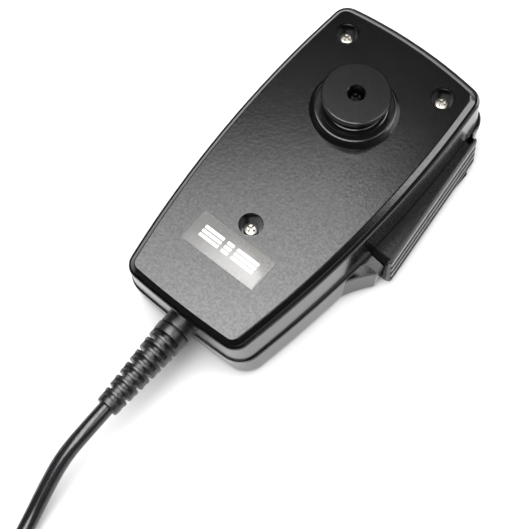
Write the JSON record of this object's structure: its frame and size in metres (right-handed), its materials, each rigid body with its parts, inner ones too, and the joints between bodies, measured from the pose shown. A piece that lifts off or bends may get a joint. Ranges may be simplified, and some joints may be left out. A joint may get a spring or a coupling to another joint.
{
  "type": "hand microphone",
  "caption": "Hand microphone with a push-to-talk side lever, a round hang-up button on its back, a ribbed strain relief and a cord ending in a round metal plug.",
  "frame": {"origin": "centre of the microphone's own box (without its cord) on the surface that its front face lies on", "axes": "+Z out of the back cover along the hang-up button, +Y towards the top end away from the cord, +X towards the push-to-talk lever"},
  "size_m": [0.1046, 0.2664, 0.0408],
  "materials": {
    "cover_plastic": "fine textured black",
    "bright_zinc": "bright zinc plate",
    "button_plastic": "satin black",
    "black_screw": "black oxide",
    "label_silver": "satin silver film",
    "lever_plastic": "matte black",
    "pad_plastic": "gloss black",
    "spring_steel": "drawn wire",
    "board_laminate": "green solder mask",
    "switch_plastic": "moulded black",
    "plunger_plastic": "moulded red",
    "capacitor_can": "sleeved can",
    "ceramic_body": "sintered body",
    "resistor_body": "lacquered body",
    "terminal_plastic": "natural nylon",
    "dust_cloth": "black felt",
    "soft_rubber": "soft black rubber",
    "capsule_metal": "satin can",
    "cord_jacket": "smooth glossy jacket",
    "lead_copper": "insulated stranded leads",
    "boot_rubber": "satin black",
    "tie_fabric": "woven hook and loop",
    "plug_chrome": "nickel plate",
    "insert_plastic": "moulded black",
    "contact_gold": "gold plate"
  },
  "bodies": {
    "case": {"back_cover": "cover_plastic", "front_cover": "cover_plastic", "case_screws": "bright_zinc", "hanger_button": "button_plastic", "hanger_screw": "black_screw", "hanger_nut": "bright_zinc", "label_plate": "label_silver", "pivot_pin": "bright_zinc", "ptt_return_spring": "spring_steel", "circuit_board": "board_laminate", "board_screws": "bright_zinc", "switch_body": "switch_plastic", "electrolytic_capacitors": "capacitor_can", "ceramic_capacitors": "ceramic_body", "resistors": "resistor_body", "audio_chip": "switch_plastic", "cord_terminals": "terminal_plastic", "dust_cloth": "dust_cloth", "capsule_holder": "soft_rubber", "microphone_capsule": "capsule_metal", "cord_clamp": "bright_zinc", "clamp_screws": "bright_zinc", "cord_tail": "cord_jacket", "inner_leads": "lead_copper", "strain_relief": "boot_rubber", "cord": "cord_jacket", "cord_coil": "cord_jacket", "coil_tie": "tie_fabric", "cord_end": "cord_jacket", "plug_boot": "boot_rubber", "plug_shell": "plug_chrome", "plug_insert": "insert_plastic", "plug_contacts": "contact_gold", "plug_shell_screw": "bright_zinc"},
    "ptt_lever": {"ptt_lever": "lever_plastic", "ptt_pad": "pad_plastic"},
    "switch_plunger": {"switch_plunger": "plunger_plastic"},
    "plug_ring": {"plug_coupling_ring": "plug_chrome"}
  },
  "joints": [
    {"name": "ptt_press", "type": "hinge", "parent": "case", "child": "ptt_lever", "pos_m": [0.02206, 0.04116, 0.009], "axis": [0, 0, -1], "range_deg": [0, 3], "stiffness_Nm_per_rad": 1.2, "springref_deg": -5.73, "deforming": ["ptt_return_spring"]},
    {"name": "switch_plunger_slide", "type": "slide", "parent": "case", "child": "switch_plunger", "axis": [-1, 0, 0], "range_m": [0, 0.0018]},
    {"name": "plug_ring_turn", "type": "hinge", "parent": "case", "child": "plug_ring", "pos_m": [-0.06184, -0.13264, 0.0094], "axis": [0, 1, 0], "continuous": true}
  ],
  "couplings": [
    {"joint": "switch_plunger_slide", "follows": "ptt_press", "m_per_rad": 0.0308}
  ]
}
